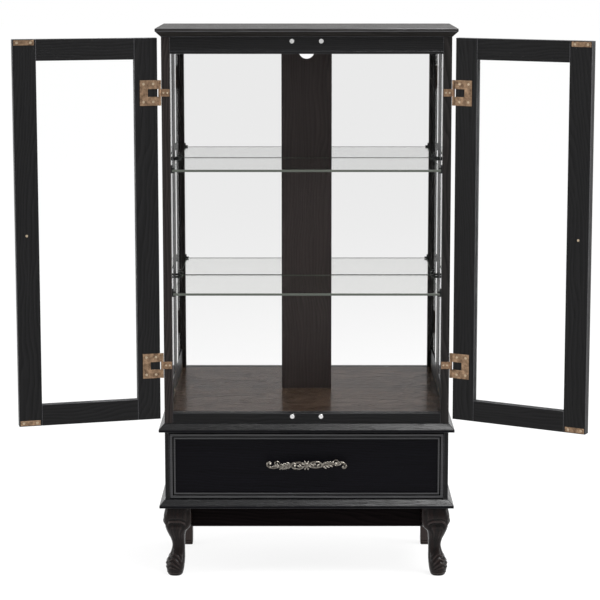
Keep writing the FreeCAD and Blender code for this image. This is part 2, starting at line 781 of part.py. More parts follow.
def door_frame(side, word):
    free_edge = "door_gap"
    hinge_edge = "(door_gap + door_width)"
    slot = ("(door_thick - pane_thick) / 2", "(door_thick + pane_thick) / 2", "slot_depth")
    towards_hinge = "left" if side < 0 else "right"
    towards_middle = "right" if side < 0 else "left"
    stiles = (("hinge_stile", f"{hinge_edge} - door_stile / 2", towards_middle),
              ("meeting_stile", f"{free_edge} + door_stile / 2", towards_hinge))
    made = {}
    for part, centre, slot_side in stiles:
        left_corner = f"{side} * ({centre}) - door_stile / 2"
        body = new_body(f"{word}_{part}", (left_corner, DOOR_OUTER, "door_bottom"), side)
        profile = sketch_on(body, "XY_Plane")
        polygon(profile, slotted("door_stile", "door_thick", slot_side, *slot))
        pad(body, profile, "door_height")
        made[part] = (body, left_corner)
    rail_length = "(door_width - 2 * door_stile)"
    centre = f"{side} * ({free_edge} + door_width / 2)"
    rails = (("bottom_rail", "door_bottom", "top"),
             ("top_rail", "door_bottom + door_height - door_rail", "bottom"))
    for part, under, slot_side in rails:
        body = new_body(f"{word}_{part}", (f"{centre} - {rail_length} / 2", DOOR_OUTER, under), side)
        profile = sketch_on(body, "YZ_Plane")
        polygon(profile, slotted("door_thick", "door_rail", slot_side, *slot))
        pad(body, profile, rail_length)
    pane_size = (f"{rail_length} + 2 * slot_depth", "pane_thick",
                 "door_height - 2 * door_rail + 2 * slot_depth")
    pane_corner = (f"{centre} - {rail_length} / 2 - slot_depth",
                   f"{DOOR_OUTER} + (door_thick - pane_thick) / 2",
                   "door_bottom + door_rail - slot_depth")
    box(f"{word}_door_glass", pane_size, pane_corner, side)
    return made


def leaf_screw_places(side):
    """Screws of both hinge leaves of one door, from the cabinet's origin with the door shut."""
    places = []
    for height in HINGE_HEIGHTS:
        for reach in ("leaf_screw_near", "leaf_screw_far"):
            for rise in ("leaf_screw_rise", "-leaf_screw_rise"):
                places.append((f"{side} * (door_gap + door_width - {reach})", f"{height} + {rise}"))
    return places


def strike_screw_places(side):
    """Screws of both strike plates of one door, from the cabinet's origin with the door shut."""
    near = "door_gap + strike_inset + strike_screw_inset"
    far = "door_gap + strike_inset + strike_length - strike_screw_inset"
    low = "door_bottom + strike_margin + strike_height / 2"
    high = "door_bottom + door_height - strike_margin - strike_height / 2"
    return [(f"{side} * ({across})", height) for across in (near, far) for height in (low, high)]


def bore_stile(stile, left_corner, places, depth="screw_length"):
    """Screw holes from the stile's inner face towards its outer face."""
    holes = sketch_on(stile, "XZ_Plane", "-door_thick")
    for x, height in places:
        circle(holes, f"{x} - ({left_corner})", f"{height} - door_bottom", "screw_radius")
    pocket(stile, holes, depth, backwards=True)


def hinge_leaves(side, word):
    body = new_body(f"{word}_hinge_leaves", ORIGIN, side)
    plates = sketch_on(body, "XZ_Plane", "-(hinge_axis_y - leaf_thick / 2)")
    axis = "hinge_axis_x"
    far = "door_gap + door_width - leaf_width"
    notch = "door_gap + door_width - notch_width"
    for height in HINGE_HEIGHTS:
        top = f"{height} + leaf_height / 2"
        bottom = f"{height} - leaf_height / 2"
        notch_top = f"{height} + notch_height / 2"
        notch_bottom = f"{height} - notch_height / 2"
        points = ((axis, bottom), (axis, notch_bottom), (notch, notch_bottom), (notch, notch_top),
                  (axis, notch_top), (axis, top), (far, top), (far, bottom))
        polygon(plates, [(f"{side} * ({u})", v) for u, v in points])
    pad(body, plates, "leaf_thick", backwards=True)
    for height in HINGE_HEIGHTS:
        for bottom in (f"{height} - leaf_height / 2", f"{height} + notch_height / 2"):
            barrel = sketch_on(body, "XY_Plane", bottom)
            circle(barrel, f"{side} * {axis}", "hinge_axis_y", "knuckle_radius")
            pad(body, barrel, "(leaf_height - notch_height) / 2")
    bore = sketch_on(body, "XY_Plane")
    circle(bore, f"{side} * {axis}", "hinge_axis_y", "pin_radius + pin_play")
    pocket(body, bore, TOP_UNDER, backwards=True)
    sink_screws(body, leaf_screw_places(side), "hinge_axis_y + leaf_thick / 2", "leaf_thick")


def sink_screws(body, places, face, thick):
    """Sunk screw holes in a thin plate whose visible face lies at the given Y."""
    for radius, depth in (("screw_head_radius", "screw_head_depth"), ("screw_radius", thick)):
        holes = sketch_on(body, "XZ_Plane", f"-({face})")
        for x, height in places:
            circle(holes, x, height, radius)
        pocket(body, holes, depth, backwards=True)


def door_screws(side, word):
    """Every screw that goes into the door's frame from its inner face."""
    body = new_body(f"{word}_door_screws", ORIGIN, side)
    leaf_face = "hinge_axis_y + leaf_thick / 2"
    strike_face = f"{DOOR_INNER} + strike_thick"
    knob = [(f"{side} * (door_gap + knob_inset)", "knob_height")]
    rows = ((leaf_screw_places(side), leaf_face, "leaf_thick", "screw_length"),
            (strike_screw_places(side), strike_face, "strike_thick", "screw_length"),
            (knob, f"{DOOR_INNER} + screw_head_depth", "screw_head_depth", "door_thick + knob_tap"))
    for places, face, thick, length in rows:
        for radius, depth in (("screw_head_radius", "screw_head_depth"),
                              ("screw_radius", f"{thick} + {length}")):
            sketch = sketch_on(body, "XZ_Plane", f"-({face})")
            for x, height in places:
                circle(sketch, x, height, radius)
            pad(body, sketch, depth)


def strike_plates(side, word):
    body = new_body(f"{word}_strike_plates", ORIGIN, side)
    plates = sketch_on(body, "XZ_Plane", f"-{DOOR_INNER}")
    near = f"{side} * (door_gap + strike_inset)"
    far = f"{side} * (door_gap + strike_inset + strike_length)"
    low = "door_bottom + strike_margin"
    high = "door_bottom + door_height - strike_margin - strike_height"
    for bottom in (low, high):
        rectangle(plates, near, bottom, far, f"{bottom} + strike_height")
    pad(body, plates, "strike_thick", backwards=True)
    sink_screws(body, strike_screw_places(side), f"{DOOR_INNER} + strike_thick", "strike_thick")


def knob(side, word):
    """Turned knob on the door's outer face: base rose, neck and ball."""
    corner = (f"{side} * (door_gap + knob_inset)", DOOR_OUTER, "knob_height")
    body = new_body(f"{word}_knob", corner, side)
    profile = sketch_on(body, "XY_Plane")
    outline = [("0", "0"), ("knob_rim_radius", "0")]
    outline += [(f"{name}_radius", f"-{name}_reach") for name, *_ in KNOB_SECTIONS]
    outline.append(("0", "-knob_length"))
    polygon(profile, outline)
    turned = body.newObject("PartDesign::Revolution", f"{word}_knob_turned")
    turned.Profile = profile
    turned.ReferenceAxis = (profile, ["V_Axis"])
    turned.Angle = 360
    tap = sketch_on(body, "XZ_Plane")
    circle(tap, "0", "0", "screw_radius")
    pocket(body, tap, "knob_tap", backwards=True)


def case_hinge_leaves():
    """Tongue leaves on the posts, with the middle knuckle of each hinge."""
    body = new_body("case_hinge_leaves")
    tongues = sketch_on(body, "XZ_Plane", f"-{FRONT}")
    screws = []
    for side, _ in SIDES:
        for height in HINGE_HEIGHTS:
            rectangle(tongues, f"{side} * hinge_axis_x", f"{height} - tongue_height / 2",
                      f"{side} * (hinge_axis_x - tongue_reach)", f"{height} + tongue_height / 2")
            for reach in ("tongue_screw_near", "tongue_screw_far"):
                screws.append((f"{side} * (hinge_axis_x - {reach})", height))
    pad(body, tongues, "leaf_thick")
    for height in HINGE_HEIGHTS:
        barrels = sketch_on(body, "XY_Plane", f"{height} - tongue_height / 2")
        for side, _ in SIDES:
            circle(barrels, f"{side} * hinge_axis_x", "hinge_axis_y", "knuckle_radius")
        pad(body, barrels, "tongue_height")
    bores = sketch_on(body, "XY_Plane")
    for side, _ in SIDES:
        circle(bores, f"{side} * hinge_axis_x", "hinge_axis_y", "pin_radius")
    pocket(body, bores, TOP_UNDER, backwards=True)
    face = f"{FRONT} - leaf_thick"
    for radius, depth in (("tongue_screw_radius", "screw_head_depth"), ("screw_radius", "leaf_thick")):
        holes = sketch_on(body, "XZ_Plane", f"-({face})")
        for x, height in screws:
            circle(holes, x, height, radius)
        pocket(body, holes, depth)
    heads = new_body("case_hinge_screws")
    for radius, depth in (("tongue_screw_radius", "screw_head_depth"),
                          ("screw_radius", "leaf_thick + screw_length")):
        sketch = sketch_on(heads, "XZ_Plane", f"-({face})")
        for x, height in screws:
            circle(sketch, x, height, radius)
        pad(heads, sketch, depth, backwards=True)


def hinge_pins():
    body = new_body("hinge_pins")
    for height in HINGE_HEIGHTS:
        sketch = sketch_on(body, "XY_Plane", f"{height} - leaf_height / 2")
        for side, _ in SIDES:
            circle(sketch, f"{side} * hinge_axis_x", "hinge_axis_y", "pin_radius")
        pad(body, sketch, "leaf_height")


def doors():
    for side, word in SIDES:
        made = door_frame(side, word)
        bore_stile(*made["hinge_stile"], leaf_screw_places(side))
        bore_stile(*made["meeting_stile"], strike_screw_places(side))
        knob_place = [(f"{side} * (door_gap + knob_inset)", "knob_height")]
        bore_stile(*made["meeting_stile"], knob_place, "door_thick")
        hinge_leaves(side, word)
        strike_plates(side, word)
        knob(side, word)
        door_screws(side, word)
    case_hinge_leaves()
    hinge_pins()


def check_and_write():
    doc.recompute()
    for item in doc.Objects:
        if any(word in item.State for word in ("Invalid", "Error")):
            raise RuntimeError(f"{item.Label} failed: {item.State}")
    os.makedirs("parts", exist_ok=True)
    for piece in nodes:
        if piece.Shape.isNull() or not piece.Shape.isValid() or not piece.Shape.Solids:
            raise RuntimeError(f"{piece.Label} has no valid solid")
        piece.Shape.exportStep(f"parts/{piece.Label}.step")
        print(piece.Label, len(piece.Shape.Solids), round(piece.Shape.Volume))
    print(len(nodes), "nodes")


boards()
face_frame()
side_frames()
back()
shelves()
lower_case()
legs()
drawer_front()
drawer_box()
drawer_pull()
doors()
check_and_write()
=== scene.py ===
"""Looks of the glass display cabinet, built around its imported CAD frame. Metres, +Z up, front to -Y."""
import json
import math

import bmesh
import bpy
from mathutils import Matrix, Vector


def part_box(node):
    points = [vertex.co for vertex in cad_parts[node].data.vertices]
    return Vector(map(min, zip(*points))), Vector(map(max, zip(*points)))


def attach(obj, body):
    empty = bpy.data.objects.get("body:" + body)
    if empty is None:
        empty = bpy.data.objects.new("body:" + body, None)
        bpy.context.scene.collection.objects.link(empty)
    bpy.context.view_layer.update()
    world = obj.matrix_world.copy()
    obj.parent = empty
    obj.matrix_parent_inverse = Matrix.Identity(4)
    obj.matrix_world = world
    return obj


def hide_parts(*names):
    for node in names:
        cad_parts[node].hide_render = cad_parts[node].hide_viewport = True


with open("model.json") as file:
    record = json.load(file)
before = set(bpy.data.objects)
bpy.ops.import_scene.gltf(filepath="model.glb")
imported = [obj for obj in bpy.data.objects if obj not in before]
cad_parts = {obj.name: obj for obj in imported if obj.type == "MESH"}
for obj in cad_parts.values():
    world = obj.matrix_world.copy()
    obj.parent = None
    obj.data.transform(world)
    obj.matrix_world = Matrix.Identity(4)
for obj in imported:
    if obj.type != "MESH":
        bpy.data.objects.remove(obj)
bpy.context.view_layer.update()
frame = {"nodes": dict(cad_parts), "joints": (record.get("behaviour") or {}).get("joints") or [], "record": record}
record = frame["record"]
NODES = frame["nodes"]
JOINTS = {joint["name"]: joint for joint in frame["joints"]}
SLOT_OF = {part["node"]: part["material_slot"] for part in record["subparts"]}
BODY_OF = {name: body for body, names in record["behaviour"]["bodies"].items() for name in names}
MM = 0.001

# how far each door is turned about +Z at rest, from its joint: closed is the low end of the range
BODY_TURN = {"left_door": math.radians(JOINTS["left_door_hinge"]["range_deg"][0]),
             "right_door": -math.radians(JOINTS["right_door_hinge"]["range_deg"][0])}
FRONT = Vector((0, -1, 0))


# ---------------------------------------------------------------- camera and studio

EYE = Vector((0, -4.485, 1.372))
PITCH = math.radians(8.02)
LENS = 123.4
SENSOR = 36.0
SHIFT_X = -0.011
SHIFT_Y = -0.112
CLIP_END = 100

# place, target, size and power of each area light
LIGHTS = {
    "overhead": ((1.3, -0.75, 3.0), (0.5, -0.3, 0.4), (1.9, 1.7), 140),
    "left": ((-2.3, -0.5, 0.9), (-0.3, -0.1, 0.5), (1.0, 1.5), 26),
    "right": ((2.3, -0.5, 0.9), (0.3, -0.1, 0.5), (1.0, 1.5), 26),
}
# the part of the studio behind the camera: its direction, where its dimming starts and ends, its tone
AHEAD = (0, -0.98, 0.2)
AHEAD_FROM = 0.6
AHEAD_TO = 0.95
AHEAD_TONE = (0.68, 0.68, 0.69, 1)
SQUARE = ((-1, -1), (1, -1), (1, 1), (-1, 1))
FLOOR_HALF = 30
FLOOR_BASE = (0.17, 0.17, 0.17, 1)
FLOOR_GLOW = 0.84


def camera():
    data = bpy.data.cameras.new("camera")
    data.sensor_width = SENSOR
    data.lens = LENS
    data.shift_x = SHIFT_X
    data.shift_y = SHIFT_Y
    data.clip_end = CLIP_END
    made = bpy.data.objects.new("camera", data)
    made.location = EYE
    made.rotation_euler = (math.pi / 2 - PITCH, 0, 0)
    bpy.context.scene.collection.objects.link(made)
    bpy.context.scene.camera = made


def area_light(name, place, target, size, power):
    data = bpy.data.lights.new(name, "AREA")
    data.shape = "RECTANGLE"
    data.size, data.size_y = size
    data.energy = power
    made = bpy.data.objects.new(name, data)
    made.location = place
    made.rotation_euler = (Vector(place) - Vector(target)).to_track_quat("Z", "Y").to_euler()
    bpy.context.scene.collection.objects.link(made)


def studio():
    world = bpy.data.worlds.new("studio")
    world.use_nodes = True
    bpy.context.scene.world = world
    bpy.context.scene.view_settings.view_transform = "Standard"
    # white all round, but dimmer in front, so that rounded edges stand out from flat faces
    tree = world.node_tree
    direction = add(tree, "ShaderNodeTexCoord").outputs["Generated"]
    ahead = add(tree, "ShaderNodeVectorMath", {0: direction, 1: AHEAD},
                operation="DOT_PRODUCT").outputs["Value"]
    shade = mix_colour(tree, remap(tree, ahead, AHEAD_FROM, AHEAD_TO), (1, 1, 1, 1), AHEAD_TONE)
    tree.links.new(shade, tree.nodes["Background"].inputs["Color"])
    for name, (place, target, size, power) in LIGHTS.items():
        area_light(name, place, target, size, power)
    mesh = bpy.data.meshes.new("studio_floor")
    corners = [(across * FLOOR_HALF, along * FLOOR_HALF, 0) for across, along in SQUARE]
    mesh.from_pydata(corners, [], [(0, 1, 2, 3)])
    floor = bpy.data.objects.new("studio_floor", mesh)
    bpy.context.scene.collection.objects.link(floor)
    material, principled = new_material("studio_floor", {
        "Base Color": FLOOR_BASE, "Roughness": 0.9, "Specular IOR Level": 0.0,
        "Emission Color": (1, 1, 1, 1), "Emission Strength": FLOOR_GLOW})
    mesh.materials.append(material)


# ---------------------------------------------------------------- material building blocks

def new_material(name, values):
    """A material and its Principled shader, with those sockets set."""
    material = bpy.data.materials.new(name)
    material.use_nodes = True
    principled = material.node_tree.nodes["Principled BSDF"]
    for socket, value in values.items():
        principled.inputs[socket].default_value = value
    return material, principled


def add(tree, kind, inputs=None, **settings):
    """A shader node; each input is a value or another node's output."""
    made = tree.nodes.new(kind)
    for name, value in settings.items():
        setattr(made, name, value)
    for socket, value in (inputs or {}).items():
        if isinstance(value, bpy.types.NodeSocket):
            tree.links.new(value, made.inputs[socket])
        else:
            made.inputs[socket].default_value = value
    return made


def math_node(tree, operation, first, second=0.0):
    return add(tree, "ShaderNodeMath", {0: first, 1: second}, operation=operation).outputs[0]


def remap(tree, value, low, high, to_low=0.0, to_high=1.0):
    inputs = {"Value": value, "From Min": low, "From Max": high, "To Min": to_low, "To Max": to_high}
    return add(tree, "ShaderNodeMapRange", inputs, clamp=True).outputs[0]


def mix_colour(tree, factor, first, second):
    made = add(tree, "ShaderNodeMix", {"Factor": factor}, data_type="RGBA")
    for index, value in ((6, first), (7, second)):
        if isinstance(value, bpy.types.NodeSocket):
            tree.links.new(value, made.inputs[index])
        else:
            made.inputs[index].default_value = value
    return made.outputs[2]


def noise(tree, vector, scale, detail=2.0, roughness=0.5):
    inputs = {"Vector": vector, "Scale": scale, "Detail": detail, "Roughness": roughness}
    return add(tree, "ShaderNodeTexNoise", inputs).outputs["Fac"]


def grain_coordinates(tree, grain, turn, offset):
    """Object coordinates with the grain along X, after undoing the piece's rest turn about Z."""
    position = add(tree, "ShaderNodeTexCoord").outputs["Object"]
    unturned = add(tree, "ShaderNodeVectorRotate", {"Vector": position, "Angle": -turn},
                   rotation_type="Z_AXIS").outputs[0]
    rotation = {"x": (0, 0, 0), "y": (0, 0, -math.pi / 2), "z": (0, math.pi / 2, 0)}[grain]
    inputs = {"Vector": unturned, "Rotation": rotation, "Location": offset}
    return add(tree, "ShaderNodeMapping", inputs).outputs[0]


def scaled(tree, vector, factors):
    return add(tree, "ShaderNodeMapping", {"Vector": vector, "Scale": factors}).outputs[0]


# ---------------------------------------------------------------- wood

RINGS_PER_METRE = 210.0
RING_SWAY = 14.0
GRAIN_DEPTH = 0.4 * MM


def wood(name, grain, dark, light, sheen, level, turn=0.0, offset=(0, 0, 0), depth=1.0, ridge_highlight=None):
    """Painted open-grained wood: growth rings cut flat, fine pores and a coat; if asked, a painted highlight on
    its ridges and painted shade in its creases.

    grain is the axis it runs along, sheen the roughness of the coat, level its specular level, depth the
    strength of its relief and the last the colour of the painted highlight on its ridges.
    """
    material, principled = new_material(name, {"Specular IOR Level": level})
    tree = material.node_tree
    along = grain_coordinates(tree, grain, turn, offset)
    # growth rings: distance from a wandering pith line
    sway = noise(tree, scaled(tree, along, (2.2, 7, 7)), 1.0, 3.0)
    bend = add(tree, "ShaderNodeVectorMath", {0: scaled(tree, along, (0.05, 1, 1)), 1: (0, 0.03, 0.11)},
               operation="ADD").outputs[0]
    radius = add(tree, "ShaderNodeVectorMath", {0: bend}, operation="LENGTH").outputs["Value"]
    rings = math_node(tree, "ADD", math_node(tree, "MULTIPLY", radius, RINGS_PER_METRE),
                      math_node(tree, "MULTIPLY", sway, RING_SWAY))
    fraction = math_node(tree, "FRACT", rings)
    early = remap(tree, fraction, 0.15, 0.75, 1.0, 0.0)
    # pores: short streaks, thickest in the early wood
    streak = noise(tree, scaled(tree, along, (28, 900, 900)), 1.0, 2.0, 0.6)
    pores = math_node(tree, "MULTIPLY", remap(tree, streak, 0.52, 0.66),
                      remap(tree, early, 0, 1, 0.35, 1.0))
    fibres = noise(tree, scaled(tree, along, (6, 260, 260)), 1.0, 3.0, 0.6)
    tone = math_node(tree, "ADD", math_node(tree, "MULTIPLY", early, 0.35),
                     math_node(tree, "MULTIPLY", fibres, 0.75))
    colour = mix_colour(tree, remap(tree, tone, 0.2, 0.85), light, dark)
    colour = mix_colour(tree, math_node(tree, "MULTIPLY", pores, 0.6), colour, dark)
    if ridge_highlight:
        # painted shade darkens the creases and a painted highlight lightens the ridges, found by pointiness
        pointed = add(tree, "ShaderNodeNewGeometry").outputs["Pointiness"]
        colour = mix_colour(tree, remap(tree, pointed, 0.46, 0.5), dark, colour)
        colour = mix_colour(tree, remap(tree, pointed, 0.505, 0.55), colour, ridge_highlight)
    tree.links.new(colour, principled.inputs["Base Color"])
    gloss = math_node(tree, "ADD", math_node(tree, "MULTIPLY", pores, 0.25),
                      math_node(tree, "MULTIPLY", fibres, 0.22))
    gloss = math_node(tree, "ADD", gloss, sheen)
    tree.links.new(gloss, principled.inputs["Roughness"])
    relief = math_node(tree, "ADD", math_node(tree, "MULTIPLY", pores, -0.7),
                       math_node(tree, "MULTIPLY", early, -0.35))
    relief = math_node(tree, "ADD", relief, math_node(tree, "MULTIPLY", fibres, 0.4))
    bump = add(tree, "ShaderNodeBump", {"Height": relief, "Strength": 0.6, "Distance": GRAIN_DEPTH * depth})
    tree.links.new(bump.outputs[0], principled.inputs["Normal"])
    return material


# ---------------------------------------------------------------- glass, mirror and metals

# what a pane lets through of a lamp's light
PANE_SHADOW = (0.92, 0.94, 0.93, 1)


def clear_glass(name, tint, density, index=1.5, face=(1, 1, 1, 1)):
    """Float glass, open to lamp light: its faces tint by face, its depth by tint and density."""
    material, principled = new_material(name, {
        "Base Color": face, "Roughness": 0.0, "IOR": index, "Transmission Weight": 1.0})
    tree = material.node_tree
    rays = add(tree, "ShaderNodeLightPath").outputs["Is Shadow Ray"]
    through = add(tree, "ShaderNodeBsdfTransparent", {"Color": PANE_SHADOW}).outputs[0]
    mixed = add(tree, "ShaderNodeMixShader", {0: rays, 1: principled.outputs[0], 2: through})
    output = tree.nodes["Material Output"]
    tree.links.new(mixed.outputs[0], output.inputs["Surface"])
    absorb = add(tree, "ShaderNodeVolumeAbsorption", {"Color": tint, "Density": density})
    tree.links.new(absorb.outputs[0], output.inputs["Volume"])
    return material


def mirror():
    material, principled = new_material("mirror_glass", {
        "Base Color": (0.82, 0.82, 0.82, 1), "Metallic": 1.0})
    tree = material.node_tree
    position = add(tree, "ShaderNodeTexCoord").outputs["Object"]
    haze = noise(tree, position, 6.0, 3.0)
    tree.links.new(remap(tree, haze, 0.3, 0.8, 0.0, 0.02), principled.inputs["Roughness"])
    return material


def metal(name, bright, dull, roughness, scale, bump_depth, ridge_highlight=False):
    """Aged metal in patches of bright and dull; asked for, a painted highlight on its ridges and painted shade in
    its hollows.
    """
    material, principled = new_material(name, {"Metallic": 1.0})
    tree = material.node_tree
    position = add(tree, "ShaderNodeTexCoord").outputs["Object"]
    patches = noise(tree, position, scale, 4.0, 0.6)
    fine = noise(tree, position, scale * 9, 2.0, 0.6)
    wear_and_highlight = remap(tree, math_node(tree, "ADD", math_node(tree, "MULTIPLY", patches, 0.7),
                                   math_node(tree, "MULTIPLY", fine, 0.3)), 0.38, 0.62)
    if ridge_highlight:
        # painted highlight on the ridges and painted shade in the hollows, found by pointiness
        pointed = add(tree, "ShaderNodeNewGeometry").outputs["Pointiness"]
        ridges = remap(tree, pointed, 0.512, 0.565)
        wear_and_highlight = math_node(tree, "ADD", math_node(tree, "MULTIPLY", wear_and_highlight, 0.2),
                           math_node(tree, "MULTIPLY", ridges, 0.8))
    tree.links.new(mix_colour(tree, wear_and_highlight, dull, bright), principled.inputs["Base Color"])
    tree.links.new(remap(tree, wear_and_highlight, 0, 1, roughness + 0.16, roughness), principled.inputs["Roughness"])
    bump = add(tree, "ShaderNodeBump", {"Height": fine, "Strength": 0.5, "Distance": bump_depth})
    tree.links.new(bump.outputs[0], principled.inputs["Normal"])
    return material


# ---------------------------------------------------------------- mesh building blocks

def finish_piece(name, mesh, node, material, smooth_degrees=30, further=()):
    """A new object in place of a CAD node, riding on the same body.

    It is shaded smooth up to smooth_degrees between faces; with None the faces keep their own setting.
    """
    if smooth_degrees:
        mesh.polygons.foreach_set("use_smooth", [True] * len(mesh.polygons))
        mesh.set_sharp_from_angle(angle=math.radians(smooth_degrees))
    for each in (material, *further):
        mesh.materials.append(each)
    made = bpy.data.objects.new(name, mesh)
    bpy.context.scene.collection.objects.link(made)
    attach(made, BODY_OF[node])
    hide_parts(node)


def mesh_from(work, name):
    bmesh.ops.recalc_face_normals(work, faces=work.faces)
    mesh = bpy.data.meshes.new(name)
    work.to_mesh(mesh)
    work.free()
    return mesh


# which of a piece's materials a face takes: 0 is its own, 1 and 2 are the further ones given to eased()

def crest_paint(face):
    """Of a curved surface, the crest that faces forwards takes the lighter edge wood: a painted highlight."""
    return int(face.smooth and face.normal.y < -0.75)


def rim_paint(face):
    """A pane's upright faces are cut glass."""
    return int(abs(face.normal.z) < 0.5)


def lip_paint(face):
    """The upright lip below a board's bevel takes a darker, less glossy copy of the wood than the bevel: painted
    shade.
    """
    return 2 if abs(face.normal.z) < 0.2 else 0


BEAD_CREST_DEPTH = 1.5 * MM
BEAD_GROUND_DEPTH = 4.3 * MM
DRAWER_PANEL_AREA = 0.01


def bead_paint(face):
    """On the drawer's front, the beads' crests take a painted highlight; their steep sides and their groove take
    near-black matt paint as painted shade.
    """
    depth = face.calc_center_median().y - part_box("drawer_front")[0].y
    if depth > BEAD_GROUND_DEPTH:
        return 0
    if face.normal.y < -0.5 and depth < BEAD_CREST_DEPTH:
        return 1
    return 2 if face.calc_area() < DRAWER_PANEL_AREA else 0


WELD = 0.002 * MM
FACET_WIDTH = 1.5 * MM
FACET_TURN = (0.01, 0.5)
EASED_FROM = math.radians(40)


def welded(node):
    """The node's own mesh with its shared points joined."""
    work = bmesh.new()
    work.from_mesh(NODES[node].data)
    bmesh.ops.remove_doubles(work, verts=work.verts, dist=WELD)
    return work


def is_facet(face):
    """Whether a face is one of the narrow facets that a curved surface comes as."""
    narrow = face.calc_area() < FACET_WIDTH * max(edge.calc_length() for edge in face.edges)
    return narrow and any(FACET_TURN[0] < edge.calc_face_angle(9) < FACET_TURN[1] for edge in face.edges)


def eased(node, width, material, further=(), paint=crest_paint):
    """The node's own shape with its convex edges rounded over; paint says which material a face takes."""
    work = welded(node)
    bmesh.ops.dissolve_limit(work, angle_limit=math.radians(1), verts=work.verts, edges=work.edges)
    sharp = []
    for edge in work.edges:
        long_enough = edge.calc_length() > 3 * width
        if edge.is_manifold and edge.is_convex and long_enough and edge.calc_face_angle() > EASED_FROM:
            sharp.append(edge)
    for face in work.faces:
        # curved surfaces alone are shaded smooth, so flat faces stay flat
        face.smooth = is_facet(face)
        face.material_index = paint(face) if further else 0
    made = bmesh.ops.bevel(work, geom=sharp, offset=width, offset_type="OFFSET", segments=2,
                           profile=0.5, affect="EDGES", clamp_overlap=True)
    # the rounded-over edges take the first further material: on black wood the lighter edge wood, a painted
    # highlight
    for face in made["faces"]:
        face.smooth = True
        face.material_index = 1 if further else 0
    finish_piece(f"{node}_eased", mesh_from(work, f"{node}_eased"), node, material, None, further)


def end_centre(node, direction, points=None):
    """Middle of the end face that lies furthest along a direction, of a node or of some of its points."""
    points = points or [vert.co for vert in NODES[node].data.vertices]
    furthest = max(point.dot(direction) for point in points)
    face = [point for point in points if point.dot(direction) > furthest - 0.01 * MM]
    low = Vector([min(point[axis] for point in face) for axis in range(3)])
    high = Vector([max(point[axis] for point in face) for axis in range(3)])
    return (low + high) / 2


def islands(node):
    """The points of each separate solid of a node, in a fixed order."""
    work = welded(node)
    left = set(work.verts)
    found = []
    while left:
        reached = [left.pop()]
        for vert in reached:
            for edge in vert.link_edges:
                other = edge.other_vert(vert)
                if other in left:
                    left.remove(other)
                    reached.append(other)
        found.append([vert.co.copy() for vert in reached])
    work.free()
    return sorted(found, key=lambda points: tuple(round(value, 5) for value in sum(points, Vector())))


def rings_mesh(work, rings):
    """Skin a list of equally long closed rings of points; the ends are closed with a fan."""
    rows = [[work.verts.new(point) for point in ring] for ring in rings]
    count = len(rows[0])
    for lower, upper in zip(rows, rows[1:]):
        for index in range(count):
            following = (index + 1) % count
            work.faces.new((lower[index], lower[following], upper[following], upper[index]))
    for row in (rows[0], rows[-1]):
        middle = work.verts.new(sum((vert.co for vert in row), Vector()) / count)
        for index in range(count):
            work.faces.new((row[index], row[(index + 1) % count], middle))


def circle(radius, sides):
    """Points (x, y) round a circle."""
    turns = [2 * math.pi * side / sides for side in range(sides)]
    return [(radius * math.cos(turn), radius * math.sin(turn)) for turn in turns]


def spline_points(points, steps):
    """Points along a smooth curve through the given points (Catmull-Rom), of any dimension."""
    padded = [points[0], *points, points[-1]]
    found = []
    for index in range(1, len(padded) - 2):
        before, start, end, after = padded[index - 1:index + 3]
        for step in range(steps):
            t = step / steps
            found.append(tuple(
                0.5 * (2 * s + (e - b) * t + (2 * b - 5 * s + 4 * e - a) * t * t
                       + (3 * s - b - 3 * e + a) * t * t * t)
                for b, s, e, a in zip(before, start, end, after)))
    found.append(tuple(points[-1]))
    return found


def smooth_step(value, low, high):
    t = min(1.0, max(0.0, (value - low) / (high - low)))
    return t * t * (3 - 2 * t)


def hump(value, centre, width):
    """A soft bump of height 1 at centre, 0 outside centre +- width."""
    return max(0.0, 1 - ((value - centre) / width) ** 2) ** 2


def plateau(value, low, full, fading, high):
    """1 from full to fading, falling softly to 0 at low and high."""
    return smooth_step(value, low, full) * (1 - smooth_step(value, fading, high))


# ---------------------------------------------------------------- front legs

# height, half the width, shift outwards along both axes, squareness; all in millimetres but the last
LEG_STATIONS = (
    (0, 13.6, 4.6, 2.2), (3, 16.2, 4.7, 2.2), (12, 18.9, 4.8, 2.2), (22, 20.3, 4.7, 2.3),
    (30, 20.4, 4.0, 2.4), (40, 18.2, 1.3, 2.4), (52, 15.3, -1.3, 2.5), (66, 13.9, -2.7, 2.8),
    (80, 15.4, -1.4, 2.9), (92, 18.6, 0.6, 3.0), (103, 22.8, 1.1, 3.2), (114, 26.6, 0.8, 3.6),
    (124, 28.6, 0.3, 4.2), (136, 28.8, 0.0, 4.4), (146, 27.4, -0.7, 4.6), (155, 25.8, -1.8, 4.8),
)
LEG_RING = 112
LEG_STEPS = 9
WING = 5.4 * MM


